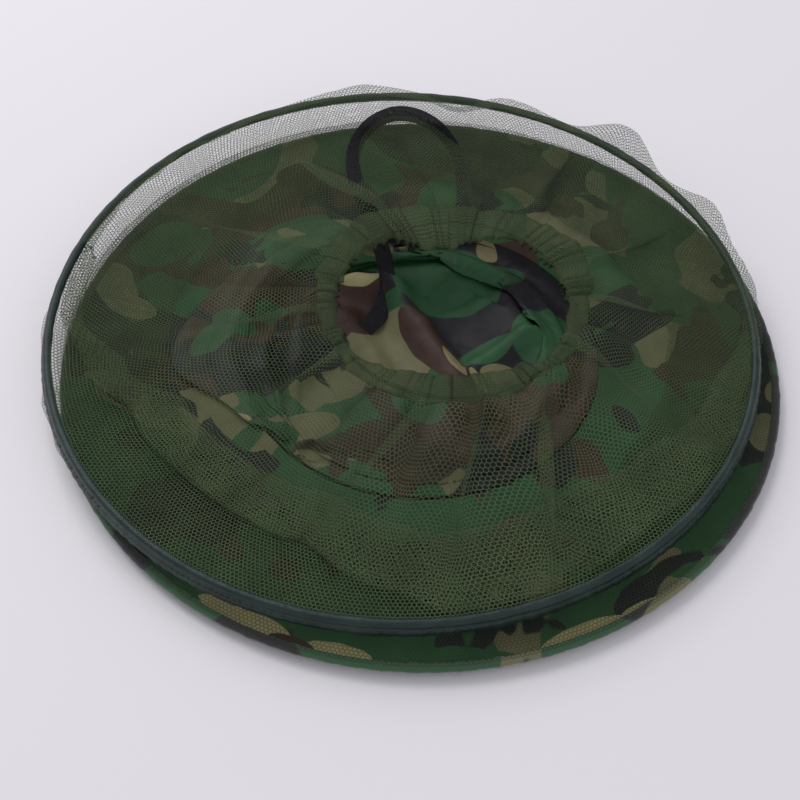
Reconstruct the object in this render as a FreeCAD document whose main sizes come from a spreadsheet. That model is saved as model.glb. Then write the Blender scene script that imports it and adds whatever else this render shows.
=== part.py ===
import FreeCAD, Part
import Sketcher
import math
import os

# A sun hat with a net veil, collapsed upside down: the crown panel lies on the table, the brim with its
# spring hoop lies over it, a second hoop lies on the brim, and the net between them is slack.
# Origin: centre of the crown panel, on the table. +Z is up, +X to the wearer's side, +Y to the back.

doc = FreeCAD.newDocument("BeekeepingVeil")

# Driving dimensions in millimetres. A thickness is the cloth's own, doubled where it is folded or hemmed.
# A value that starts with = is worked out from the ones above it.
dimensions = {
    "headRadius": 95.0,  # head opening, to the seam where crown and brim meet
    "crownTaper": 15.0,  # the crown panel is this much smaller than the head opening
    "crownThickness": 1.2,
    "crownWall": 1.2,  # thickness of the side wall, measured level
    "crownFoldSpread": 9.0,  # how far the collapsed side wall folds out over the brim
    "crownFoldHeight": 25.0,
    "crownCrestWalls": 3.0,  # the fold's crest is this many walls thick
    "brimRadius": 190.0,  # outer edge of the brim's binding
    "brimCloth": 0.8,
    "brimInnerHeight": 9.0,  # middle of the brim at the head seam
    "brimEdgeHeight": 6.5,  # middle of the brim at its wire
    "layerGap": 0.1,  # between the two cloths of the brim
    "stitchGap": 0.2,  # between two pieces that are sewn together
    "bodyGap": 0.4,  # between two pieces that move apart
    "sweatbandHeight": 5.5,
    "sweatbandThickness": 1.4,
    "wireRadius": 1.0,
    "ferruleWall": 0.3,
    "ferruleClearance": 0.05,
    "tunnelClearance": 0.15,
    "tunnelRadius": "=wireRadius + ferruleClearance + ferruleWall + tunnelClearance",
    "ferruleTurn": 4.5,  # degrees of the hoop that a ferrule covers
    "wireGapTurn": 0.4,  # degrees between the wire's two ends, inside the ferrule
    "brimJoinTurn": 20.0,  # degrees from +X to each hoop's ferrule
    "veilJoinTurn": 130.0,
    "bindingWall": 0.9,
    "slotClearance": 0.25,  # above and below the two cloths where they enter the binding
    "bindingSlot": "=2 * brimCloth + layerGap + 2 * slotClearance",
    "hoopRadius": 186.0,  # middle of the veil hoop's wire
    "hoopShiftX": -10.0,  # the veil hoop lies off centre on the brim
    "hoopShiftY": 12.0,
    "hoopHeight": 22.0,
    "casingWall": 0.9,
    "flangeRun": 3.6,  # the casing's stitched edge, out from the wire
    "flangeDrop": 6.2,  # and down from it
    "flangeThickness": 1.1,
    "flangeInnerTurn": 60.0,  # degrees below level where the flange's two sides leave the casing's round part
    "flangeOuterTurn": 30.0,
    "netThickness": 0.8,
    "veilCrestRadius": 172.0,  # where the slack upper veil folds over
    "veilCrestHeight": 42.0,
    "neckRadius": 63.0,  # middle of the gathered hem
    "neckShiftX": 16.0,
    "neckShiftY": 10.0,
    "neckHeight": 38.0,
    "elasticRadius": 1.1,
    "elasticClearance": 0.4,
    "hemTunnel": "=elasticRadius + elasticClearance",
    "hemWall": 1.7,
    "hemRadius": "=hemTunnel + hemWall",  # of the rolled hem's section
    "strapRadius": 1.9,
    "tabLength": 11.0,
    "tabWidth": 12.0,
    "tabThickness": 1.6,
}

veil = doc.addObject("Spreadsheet::Sheet", "Veil")
for row, (alias, value) in enumerate(dimensions.items(), start=1):
    veil.set(f"A{row}", alias)
    veil.set(f"B{row}", str(value))
    veil.setAlias(f"B{row}", alias)
doc.recompute()

nodes = []


def number(expression):
    """The value of an expression on the sheet's cells."""
    return float(veil.evalExpression(expression))


def newBody(node, shiftX="0", shiftY="0"):
    """A body whose own Z axis stands at the given place."""
    body = doc.addObject("PartDesign::Body", node)
    body.Label = node
    body.setExpression("Placement.Base.x", shiftX)
    body.setExpression("Placement.Base.y", shiftY)
    nodes.append(body)
    return body


def newSketch(body, name, plane, height=None):
    sketch = body.newObject("Sketcher::SketchObject", name)
    support = next(f for f in body.Origin.OriginFeatures if f.Role == plane)
    sketch.AttachmentSupport = [(support, "")]
    sketch.MapMode = "FlatFace"
    if height:
        sketch.setExpression("AttachmentOffset.Base.z", height)
    return sketch


def size(sketch, kind, expression, *where):
    """Adds a dimension and binds it to the sheet."""
    index = sketch.addConstraint(Sketcher.Constraint(kind, *where, number(expression)))
    sketch.setExpression(f"Constraints[{index}]", expression)


def pinPoint(sketch, geometry, point, x, y):
    size(sketch, "DistanceX", x, -1, 1, geometry, point)
    size(sketch, "DistanceY", y, -1, 1, geometry, point)


def addCircle(sketch, x, y, radius):
    centre = FreeCAD.Vector(number(x), number(y), 0)
    circle = sketch.addGeometry(Part.Circle(centre, FreeCAD.Vector(0, 0, 1), number(radius)), False)
    size(sketch, "Radius", radius, circle)
    if number(x) or number(y):
        pinPoint(sketch, circle, 3, x, y)
    else:
        sketch.addConstraint(Sketcher.Constraint("Coincident", circle, 3, -1, 1))


def addPolygon(sketch, corners):
    points = [FreeCAD.Vector(number(x), number(y), 0) for x, y in corners]
    count = len(points)
    for i in range(count):
        sketch.addGeometry(Part.LineSegment(points[i], points[(i + 1) % count]), False)
    for i, (x, y) in enumerate(corners):
        sketch.addConstraint(Sketcher.Constraint("Coincident", i, 2, (i + 1) % count, 1))
        pinPoint(sketch, i, 1, x, y)


def addTunnel(sketch, x, y, outer, inner, slot):
    """A ring section round a wire, open towards the middle of the hat by a slot of the given height."""
    centre = FreeCAD.Vector(number(x), number(y), 0)
    up = FreeCAD.Vector(0, 0, 1)
    arcs = []
    for radius in (outer, inner):
        circle = Part.Circle(centre, up, number(radius))
        lip = math.pi - math.asin(number(slot) / 2 / number(radius))
        arcs.append(sketch.addGeometry(Part.ArcOfCircle(circle, -lip, lip), False))
        size(sketch, "Radius", radius, arcs[-1])
    pinPoint(sketch, arcs[0], 3, x, y)
    sketch.addConstraint(Sketcher.Constraint("Coincident", arcs[0], 3, arcs[1], 3))
    for end, sign in ((1, "-"), (2, "+")):
        tips = [sketch.getPoint(arc, end) for arc in arcs]
        lip = sketch.addGeometry(Part.LineSegment(tips[0], tips[1]), False)
        for tip, arc in ((1, arcs[0]), (2, arcs[1])):
            sketch.addConstraint(Sketcher.Constraint("Coincident", lip, tip, arc, end))
            size(sketch, "DistanceY", f"{y} {sign} {slot} / 2", -1, 1, arc, end)


def revolve(body, sketch, turn="360"):
    """Turns a section round the body's own Z axis, half the angle each way from the sketch."""
    ring = body.newObject("PartDesign::Revolution", sketch.Name + "Ring")
    ring.Profile = sketch
    ring.ReferenceAxis = (sketch, ["V_Axis"])
    ring.Midplane = True
    ring.setExpression("Angle", turn)
    return ring


def polygonRing(node, corners):
    body = newBody(node)
    sketch = newSketch(body, node + "Section", "XZ_Plane")
    addPolygon(sketch, corners)
    revolve(body, sketch)
    return body


def circleRing(node, radius, height, circles, shift=("0", "0"), turn="360", start="0"):
    """A round ring, with a round tunnel inside it where a second circle is given."""
    body = newBody(node, *shift)
    sketch = newSketch(body, node + "Section", "XZ_Plane")
    for circle in circles:
        addCircle(sketch, radius, height, circle)
    revolve(body, sketch, turn)
    body.Placement.Rotation = FreeCAD.Rotation(FreeCAD.Vector(0, 0, 1), number(start))
    return body


def netLoft(body, name, kind, rings):
    """Joins level circles, each (x, y, radius, height), by straight-sided skins."""
    sketches = []
    for i, (x, y, radius, height) in enumerate(rings):
        sketch = newSketch(body, f"{name}{i}", "XY_Plane", height)
        addCircle(sketch, x, y, radius)
        sketches.append(sketch)
    loft = body.newObject(f"PartDesign::{kind}Loft", name)
    loft.Profile = sketches[0]
    loft.Sections = [(sketch, [""]) for sketch in sketches[1:]]
    loft.Ruled = True
    return loft


# Crown: a flat panel on the table, and the side wall that has collapsed into one high fold.
def makeCrown():
    panel = newBody("crown_top")
    outline = newSketch(panel, "crownPanelOutline", "XY_Plane")
    addCircle(outline, "0", "0", "Veil.headRadius - Veil.crownTaper")
    pad = panel.newObject("PartDesign::Pad", "crownPanel")
    pad.Profile = outline
    pad.setExpression("Length", "Veil.crownThickness")

    foot = "Veil.headRadius - Veil.crownTaper - Veil.crownWall"
    footHeight = "Veil.crownThickness + Veil.bodyGap"
    seam = "Veil.headRadius - Veil.crownWall"
    seamHeight = "Veil.brimInnerHeight + Veil.brimCloth + Veil.layerGap + Veil.stitchGap"
    crest = "Veil.headRadius + Veil.crownFoldSpread"
    polygonRing("crown_side", [
        (foot, footHeight),
        (f"{foot} + Veil.crownWall", footHeight),
        (f"{crest} - Veil.crownCrestWalls * Veil.crownWall",
         "Veil.crownFoldHeight - Veil.crownCrestWalls * Veil.crownWall"),
        (seam, seamHeight),
        (f"{seam} + Veil.crownWall", seamHeight),
        (crest, "Veil.crownFoldHeight"),
        (f"{crest} - Veil.crownWall", "Veil.crownFoldHeight"),
    ])
    top = "Veil.brimInnerHeight - Veil.brimCloth - Veil.layerGap"
    band = f"{seam} - Veil.stitchGap"
    polygonRing("sweatband", [
        (f"{band} - Veil.sweatbandThickness", f"{top} - Veil.sweatbandHeight"),
        (band, f"{top} - Veil.sweatbandHeight"),
        (band, top),
        (f"{band} - Veil.sweatbandThickness", top),
    ])


# Brim: two cloths sewn face to face, their edge bound round a spring steel hoop.
wirePlace = "Veil.brimRadius - Veil.tunnelRadius - Veil.bindingWall"


def makeBrim():
    edge = f"{wirePlace} - Veil.tunnelRadius"
    for node, side in (("brim_upper_cloth", "-"), ("brim_under_cloth", "+")):
        near = f"{side} Veil.layerGap / 2"
        far = f"{side} (Veil.layerGap / 2 + Veil.brimCloth)"
        polygonRing(node, [
            ("Veil.headRadius", f"Veil.brimInnerHeight {near}"),
            (edge, f"Veil.brimEdgeHeight {near}"),
            (edge, f"Veil.brimEdgeHeight {far}"),
            ("Veil.headRadius", f"Veil.brimInnerHeight {far}"),
        ])
    binding = newBody("brim_binding")
    section = newSketch(binding, "brimBindingSection", "XZ_Plane")
    outer = "Veil.tunnelRadius + Veil.bindingWall"
    addTunnel(section, wirePlace, "Veil.brimEdgeHeight", outer, "Veil.tunnelRadius", "Veil.bindingSlot")
    revolve(binding, section)


# Each hoop is a spring wire bent round, its two ends butted inside a crimped ferrule.
def makeHoop(name, radius, height, shift, start):
    whole = "360 - Veil.wireGapTurn"
    circleRing(f"{name}_wire", radius, height, ["Veil.wireRadius"], shift, whole, f"{start} + 180")
    bore = "Veil.wireRadius + Veil.ferruleClearance"
    circleRing(f"{name}_ferrule", radius, height, [f"{bore} + Veil.ferruleWall", bore], shift,
               "Veil.ferruleTurn", start)


# The veil hoop's casing: a tape folded round the wire, its stitched edge turned out and down.
def makeCasing():
    tape = circleRing("veil_hoop_casing", "Veil.hoopRadius", "Veil.hoopHeight",
                      ["Veil.tunnelRadius + Veil.casingWall", "Veil.tunnelRadius"],
                      ("Veil.hoopShiftX", "Veil.hoopShiftY"))
    flange = newSketch(tape, "casingFlange", "XZ_Plane")
    root = "(Veil.tunnelRadius + Veil.casingWall / 2)"
    edge = "Veil.hoopRadius + Veil.flangeRun"
    edgeHeight = "Veil.hoopHeight - Veil.flangeDrop"
    addPolygon(flange, [
        (f"Veil.hoopRadius + {root} * cos(Veil.flangeInnerTurn)",
         f"Veil.hoopHeight - {root} * sin(Veil.flangeInnerTurn)"),
        (f"{edge} - Veil.flangeThickness", edgeHeight),
        (edge, edgeHeight),
        (f"Veil.hoopRadius + {root} * cos(Veil.flangeOuterTurn)",
         f"Veil.hoopHeight - {root} * sin(Veil.flangeOuterTurn)"),
    ])
    revolve(tape, flange)


# The two nets are thin skins here: the lower one from the brim's edge to the hoop, the upper one from the
# hoop over the crest of its slack to the gathered hem.
def makeNets():
    low = "Veil.brimEdgeHeight + Veil.tunnelRadius + Veil.bindingWall + Veil.bodyGap"
    high = "Veil.hoopHeight - Veil.flangeDrop - Veil.stitchGap"
    lower = newBody("lower_veil")
    for name, kind, wall in (("lowerNet", "Additive", "0"), ("lowerHollow", "Subtractive", "Veil.netThickness")):
        netLoft(lower, name, kind, [
            ("0", "0", f"{wirePlace} - {wall}", low),
            ("Veil.hoopShiftX", "Veil.hoopShiftY", f"Veil.hoopRadius + Veil.flangeRun - {wall}", high),
        ])

    foot = "Veil.hoopHeight + Veil.tunnelRadius + Veil.casingWall + Veil.bodyGap"
    mouth = "Veil.neckRadius + Veil.hemRadius + Veil.stitchGap"
    upper = newBody("upper_veil")
    for name, kind, wall in (("upperNet", "Additive", "0"), ("upperHollow", "Subtractive", "Veil.netThickness")):
        netLoft(upper, name, kind, [
            ("Veil.hoopShiftX", "Veil.hoopShiftY", f"Veil.hoopRadius - {wall}", foot),
            ("Veil.hoopShiftX", "Veil.hoopShiftY", f"Veil.veilCrestRadius - {wall}",
             f"Veil.veilCrestHeight - {wall}"),
            ("Veil.neckShiftX", "Veil.neckShiftY", mouth, f"Veil.neckHeight - {wall}"),
        ])
    hole = newSketch(upper, "upperMouth", "XY_Plane", "Veil.veilCrestHeight")
    addCircle(hole, "Veil.neckShiftX", "Veil.neckShiftY", mouth)
    cut = upper.newObject("PartDesign::Pocket", "upperMouthCut")
    cut.Profile = hole
    cut.Type = "ThroughAll"


# Chin strap: a flat ribbon, kept here as a round tube of the same path. Straight runs between these
# points are joined by arcs that touch them. It leaves its tab behind the head opening, loops up under
# the net, and comes back through the opening to the tab inside the crown.
strapRoute = [
    (26, 113, 13.8), (25, 128, 17.5), (20, 146, 27), (7, 162, 33), (-13, 169, 35), (-30, 158, 35),
    (-39, 138, 34.5), (-39, 116, 34), (-32, 95, 32), (-25, 77, 26), (-19, 59, 18), (-17, 40, 11.5),
    (-25, 24, 8), (-39, 14, 6.3), (-54, 13, 5.8), (-68.5, 17.5, 6),
]
runShare = 0.45  # the part of the shorter run that an arc may take


def strapPath():
    points = [FreeCAD.Vector(*point) for point in strapRoute]
    edges = []
    start = points[0]
    radii = []
    for before, corner, after in zip(points, points[1:], points[2:]):
        toBefore = (before - corner).normalize()
        toAfter = (after - corner).normalize()
        halfTurn = (math.pi - toBefore.getAngle(toAfter)) / 2
        reach = runShare * min((before - corner).Length, (after - corner).Length)
        radius = reach / math.tan(halfTurn)
        radii.append(round(radius, 1))
        arcStart = corner + toBefore * reach
        arcEnd = corner + toAfter * reach
        inward = (toBefore + toAfter).normalize()
        middle = corner + inward * (radius / math.cos(halfTurn) - radius)
        edges.append(Part.LineSegment(start, arcStart).toShape())
        edges.append(Part.Arc(arcStart, middle, arcEnd).toShape())
        start = arcEnd
    edges.append(Part.LineSegment(start, points[-1]).toShape())
    print("strap radii", radii)
    return Part.Wire(edges)


def makeStrap():
    path = strapPath()
    start = FreeCAD.Vector(*strapRoute[0])
    heading = FreeCAD.Vector(*strapRoute[1]) - start
    radius = number("Veil.strapRadius")
    section = Part.Wire(Part.makeCircle(radius, start, heading))
    strap = doc.addObject("Part::Feature", "chin_strap")
    strap.Label = "chin_strap"
    strap.Shape = path.makePipeShell([section], True, True)
    expected = math.pi * radius**2 * path.Length
    print(f"strap length {path.Length:.1f}, volume {strap.Shape.Volume:.1f}, section times length {expected:.1f}")
    nodes.append(strap)


# A tab is the folded, sewn end of the strap: a small pad whose end face meets the strap's.
def makeTab(node, end, inner):
    here = FreeCAD.Vector(*end)
    away = here - FreeCAD.Vector(*inner)
    tab = doc.addObject("Part::Box", node)
    tab.Label = node
    tab.setExpression("Length", "Veil.tabLength")
    tab.setExpression("Width", "Veil.tabWidth")
    tab.setExpression("Height", "Veil.tabThickness")
    turn = FreeCAD.Rotation(away, FreeCAD.Vector(), FreeCAD.Vector(0, 0, 1), "XZY")
    corner = FreeCAD.Vector(0, -number("Veil.tabWidth / 2"), -number("Veil.tabThickness / 2"))
    tab.Placement = FreeCAD.Placement(here + turn.multVec(corner), turn)
    nodes.append(tab)


makeCrown()
makeBrim()
makeHoop("brim_hoop", wirePlace, "Veil.brimEdgeHeight", ("0", "0"), "Veil.brimJoinTurn")
makeStrap()
makeTab("chin_strap_back_tab", strapRoute[0], strapRoute[1])
makeTab("chin_strap_side_tab", strapRoute[-1], strapRoute[-2])
makeCasing()
makeHoop("veil_hoop", "Veil.hoopRadius", "Veil.hoopHeight", ("Veil.hoopShiftX", "Veil.hoopShiftY"),
         "Veil.veilJoinTurn")
makeNets()
neckPlace = ("Veil.neckShiftX", "Veil.neckShiftY")
circleRing("neck_hem", "Veil.neckRadius", "Veil.neckHeight", ["Veil.hemRadius", "Veil.hemTunnel"], neckPlace)
circleRing("neck_elastic", "Veil.neckRadius", "Veil.neckHeight", ["Veil.elasticRadius"], neckPlace)

doc.recompute()
for item in doc.Objects:
    if "Invalid" in item.State or "Error" in item.State:
        raise RuntimeError(f"{item.Label} failed: {item.State}")
for node in nodes:
    if node.Shape.isNull() or not node.Shape.isValid():
        raise RuntimeError(f"{node.Label} has no valid shape")

os.makedirs("parts", exist_ok=True)
for node in nodes:
    node.Shape.exportStep(f"parts/{node.Label}.step")
    box = node.Shape.BoundBox
    print(f"{node.Label:22} {len(node.Shape.Solids)} solid(s) {node.Shape.Volume / 1000:8.2f} cm3"
          f"  z {box.ZMin:.2f} to {box.ZMax:.2f}")
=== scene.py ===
import bpy
import bmesh
import math
import numpy as np
from mathutils import Matrix, Vector, noise


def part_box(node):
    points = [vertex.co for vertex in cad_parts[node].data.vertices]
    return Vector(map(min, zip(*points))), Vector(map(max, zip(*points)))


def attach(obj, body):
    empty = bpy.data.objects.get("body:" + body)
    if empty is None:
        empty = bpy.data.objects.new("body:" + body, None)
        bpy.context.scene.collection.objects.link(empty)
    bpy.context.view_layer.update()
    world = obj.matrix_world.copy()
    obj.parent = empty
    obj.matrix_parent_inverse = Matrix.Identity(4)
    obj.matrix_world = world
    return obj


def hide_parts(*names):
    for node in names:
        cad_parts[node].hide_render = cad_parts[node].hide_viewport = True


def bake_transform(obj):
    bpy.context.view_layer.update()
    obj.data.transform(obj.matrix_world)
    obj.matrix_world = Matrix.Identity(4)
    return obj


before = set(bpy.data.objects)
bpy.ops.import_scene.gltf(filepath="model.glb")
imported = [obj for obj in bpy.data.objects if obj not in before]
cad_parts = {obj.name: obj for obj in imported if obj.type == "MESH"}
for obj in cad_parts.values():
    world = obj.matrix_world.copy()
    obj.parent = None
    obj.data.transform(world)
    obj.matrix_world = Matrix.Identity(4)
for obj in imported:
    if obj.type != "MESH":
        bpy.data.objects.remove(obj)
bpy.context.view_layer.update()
scene = bpy.context.scene
mm = 0.001
turn = 2 * math.pi


# Places and sizes, all from the frame

def ringOf(node):  # a round CAD node's centre, outer radius and heights
    low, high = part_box(node)
    middle = (low + high) / 2
    return {"x": middle.x, "y": middle.y, "z": middle.z, "low": low.z, "high": high.z,
            "radius": (high.y - low.y) / 2}


brimWire = ringOf("brim_hoop_wire")
hoop = ringOf("veil_hoop_wire")
casing = ringOf("veil_hoop_casing")
neck = ringOf("neck_hem")
crownTop = ringOf("crown_top")
sweatband = ringOf("sweatband")
wireRadius = brimWire["radius"] - (brimWire["high"] - brimWire["low"]) / 2
hoopRadius = hoop["radius"] - (hoop["high"] - hoop["low"]) / 2
headRadius = sweatband["radius"] + 1.4 * mm


# Camera, floor and light

camera = {"target": (-10.4, -23.4, 0), "distance": 819, "elevation": 50.2, "roll": 0.8, "lens": 70}


def makeCamera(c):
    data = bpy.data.cameras.new("camera")
    data.lens = c["lens"]
    data.sensor_width = 36
    obj = bpy.data.objects.new("camera", data)
    scene.collection.objects.link(obj)
    tilt = math.radians(90 - c["elevation"])
    turned = Matrix.Rotation(tilt, 4, "X") @ Matrix.Rotation(math.radians(c["roll"]), 4, "Z")
    back = turned.to_3x3() @ Vector((0, 0, 1))
    obj.matrix_world = Matrix.Translation(Vector(c["target"]) * mm + back * c["distance"] * mm) @ turned
    scene.camera = obj


makeCamera(camera)
print("camera placed")

floorSettings = {"size": 24, "colour": (0.815, 0.783, 0.804), "roughness": 0.75}
lightSettings = {
    "sky": (0.80, 0.82, 0.88), "skyStrength": 0.62,
    "keyPlace": (-0.9, 1.1, 1.7), "keySize": 1.6, "keyEnergy": 26,
    "fillPlace": (0.9, -1.2, 1.4), "fillSize": 1.8, "fillEnergy": 5,
}


def makeSurroundings(f, l):
    bm = bmesh.new()
    bmesh.ops.create_grid(bm, x_segments=1, y_segments=1, size=f["size"] / 2)
    floor = linkMesh("floor", bm)
    material, shader = newMaterial("pale table", roughness=f["roughness"])
    shader.inputs["Base Color"].default_value = (*f["colour"], 1)
    floor.data.materials.append(material)
    world = bpy.data.worlds.new("studio")
    scene.world = world
    world.use_nodes = True
    world.node_tree.nodes["Background"].inputs["Color"].default_value = (*l["sky"], 1)
    world.node_tree.nodes["Background"].inputs["Strength"].default_value = l["skyStrength"]
    for name in ("key", "fill"):
        lamp = bpy.data.lights.new(name, "AREA")
        lamp.energy = l[name + "Energy"]
        lamp.size = l[name + "Size"]
        obj = bpy.data.objects.new(name, lamp)
        scene.collection.objects.link(obj)
        obj.location = l[name + "Place"]
        obj.rotation_mode = "QUATERNION"
        obj.rotation_quaternion = (-Vector(l[name + "Place"])).to_track_quat("-Z", "Y")


# Mesh helpers

def linkMesh(name, bm):
    mesh = bpy.data.meshes.new(name)
    bm.to_mesh(mesh)
    bm.free()
    mesh.shade_smooth()
    obj = bpy.data.objects.new(name, mesh)
    scene.collection.objects.link(obj)
    return obj


def readPlaces(mesh):
    places = np.zeros(len(mesh.vertices) * 3, np.float32)
    mesh.vertices.foreach_get("co", places)
    return places.reshape(-1, 3).astype(float)


def setPlaces(mesh, places):
    mesh.vertices.foreach_set("co", np.asarray(places, np.float32).ravel())
    mesh.update()


# slides the points of each column along its line until they are evenly spaced
def evenOut(flat, points):
    order = np.lexsort((flat[:, 1], flat[:, 0]))
    rows = len(np.unique(flat[:, 1].round(6)))
    columns = np.asarray(points)[order].reshape(-1, rows, 3)
    steps = np.linalg.norm(np.diff(columns, axis=1), axis=2)
    run = np.concatenate([np.zeros((len(columns), 1)), np.cumsum(steps, axis=1)], axis=1)
    shares = np.linspace(0, 1, rows)
    for index, column in enumerate(columns):
        at = shares * run[index, -1]
        columns[index] = np.stack([np.interp(at, run[index], column[:, k]) for k in range(3)], axis=1)
    spaced = np.empty((len(order), 3))
    spaced[order] = columns.reshape(-1, 3)
    return spaced


# a grid bent into a closed ring; its UV map keeps the flat cloth in metres
def ringSheet(name, around, along, cut, place, even=False):
    bm = bmesh.new()
    bm.loops.layers.uv.new("cut")
    bmesh.ops.create_grid(bm, x_segments=around, y_segments=along, size=0.5, calc_uvs=True)
    flat = np.array([v.co[:2] for v in bm.verts]) + 0.5
    points = place(flat[:, 0] * turn, flat[:, 1])
    for vert, point in zip(bm.verts, evenOut(flat, points) if even else points):
        vert.co = point
    uv = bm.loops.layers.uv["cut"]
    for face in bm.faces:
        for loop in face.loops:
            loop[uv].uv = (loop[uv].uv.x * cut[0], loop[uv].uv.y * cut[1])
    edges = [v for v, f in zip(bm.verts, flat) if f[0] < 1e-6 or f[0] > 1 - 1e-6]
    bmesh.ops.remove_doubles(bm, verts=edges, dist=1e-5)
    return linkMesh(name, bm)


# points at the given angles, radii and heights round a middle (x, y)
def ringPlaces(angle, radius, z, middle):
    return np.stack([middle[0] + radius * np.cos(angle), middle[1] + radius * np.sin(angle),
                     np.broadcast_to(z, np.shape(angle))], axis=1)


# values read off a table of (degrees, value, ...) rows, smoothly and round the full circle
def aroundTable(angle, table):
    rows = sorted(table)
    degrees = np.array([r[0] for r in rows], float)
    degrees = np.concatenate([degrees - 360, degrees, degrees + 360])
    found = []
    for column in range(1, len(rows[0])):
        values = np.tile(np.array([r[column] for r in rows], float), 3)
        at = np.degrees(angle) % 360
        index = np.clip(np.searchsorted(degrees, at) - 1, 0, len(degrees) - 2)
        share = (at - degrees[index]) / (degrees[index + 1] - degrees[index])
        share = share * share * (3 - 2 * share)
        found.append(values[index] * (1 - share) + values[index + 1] * share)
    return found


# smooth uneven ripples round a circle, between about -1 and 1
def waves(angle, seed, counts, sharp=1.0):
    draw = np.random.default_rng(seed)
    total = np.zeros_like(angle)
    for count in counts:
        total += np.cos(count * angle + draw.uniform(0, turn)) * draw.uniform(0.6, 1.0)
    total /= math.sqrt(len(counts))
    return np.sign(total) * np.abs(total) ** sharp


# fractal noise at each point, about -1 to 1
def bumps(points, scale, seed, octaves=3):
    shift = Vector((seed * 7.3, seed * 3.1, seed * 5.7))
    return np.array([noise.fractal(Vector(p) * scale + shift, 1.0, 2.0, octaves) for p in points])


def smoothStep(low, high, value):
    share = np.clip((value - low) / (high - low), 0, 1)
    return share * share * (3 - 2 * share)


# smooth line through columns[k] at knots[k], for every v, by blending neighbouring parabolas
def threadCurve(v, knots, columns):
    knots = np.asarray(knots, float)
    count = len(knots)
    index = np.clip(np.searchsorted(knots, v, side="right") - 1, 0, count - 2)
    share = (v - knots[index]) / (knots[index + 1] - knots[index])
    columns = np.asarray(columns, float)  # (count, points)
    here = np.arange(len(v))
    before = columns[np.clip(index - 1, 0, count - 1), here]
    first = columns[index, here]
    second = columns[index + 1, here]
    after = columns[np.clip(index + 2, 0, count - 1), here]
    a = 0.5 * (second - before)
    b = 0.5 * (after - first)
    t, t2, t3 = share, share**2, share**3
    return (2 * t3 - 3 * t2 + 1) * first + (t3 - 2 * t2 + t) * a + (3 * t2 - 2 * t3) * second + (t3 - t2) * b


# Material helpers

def newMaterial(name, roughness=0.7, **shaderValues):
    material = bpy.data.materials.new(name)
    material.use_nodes = True
    shader = material.node_tree.nodes["Principled BSDF"]
    shader.inputs["Roughness"].default_value = roughness
    for socket, value in shaderValues.items():
        shader.inputs[socket].default_value = value
    return material, shader


def addNode(tree, kind, inputs=None, **settings):
    node = tree.nodes.new("ShaderNode" + kind)
    for key, value in settings.items():
        setattr(node, key, value)
    for key, value in (inputs or {}).items():
        if isinstance(value, bpy.types.NodeSocket):
            tree.links.new(value, node.inputs[key])
        else:
            node.inputs[key].default_value = value
    return node


def maths(tree, operation, first, second=0.0):
    node = addNode(tree, "Math", {0: first, 1: second}, operation=operation)
    return node.outputs[0]


def vectorMaths(tree, operation, first, second=(0.0, 0.0, 0.0), output=0):
    node = addNode(tree, "VectorMath", {0: first, 1: second}, operation=operation)
    return node.outputs[output]


def ramp(tree, value, low, high, toLow=0.0, toHigh=1.0):
    node = addNode(tree, "MapRange", {"Value": value, "From Min": low, "From Max": high,
                                      "To Min": toLow, "To Max": toHigh}, interpolation_type="SMOOTHSTEP")
    return node.outputs["Result"]


def mixColour(tree, share, first, second):
    node = addNode(tree, "Mix", data_type="RGBA")
    for socket, value in ((node.inputs["Factor"], share), (node.inputs[6], first), (node.inputs[7], second)):
        if isinstance(value, bpy.types.NodeSocket):
            tree.links.new(value, socket)
        else:
            socket.default_value = value
    return node.outputs[2]


# bumps a material's surface, over an earlier bump where one is given
def addBump(tree, shader, height, strength, distance, under=None):
    inputs = {"Height": height, "Strength": strength, "Distance": distance}
    if under is not None:
        inputs["Normal"] = under
    bump = addNode(tree, "Bump", inputs)
    tree.links.new(bump.outputs[0], shader.inputs["Normal"])
    return bump.outputs[0]


# a shader node group; inputs are (name, kind, default)
def newGroup(name, inputs, outputs):
    tree = bpy.data.node_groups.new(name, "ShaderNodeTree")
    for label, kind, value in inputs:
        socket = tree.interface.new_socket(label, in_out="INPUT", socket_type="NodeSocket" + kind)
        if value is not None:
            socket.default_value = value
    for label, kind in outputs:
        tree.interface.new_socket(label, in_out="OUTPUT", socket_type="NodeSocket" + kind)
    return tree, tree.nodes.new("NodeGroupInput"), tree.nodes.new("NodeGroupOutput")


def useGroup(tree, group, inputs):
    node = tree.nodes.new("ShaderNodeGroup")
    node.node_tree = group
    for key, value in inputs.items():
        if isinstance(value, bpy.types.NodeSocket):
            tree.links.new(value, node.inputs[key])
        else:
            node.inputs[key].default_value = value
    return node


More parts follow.
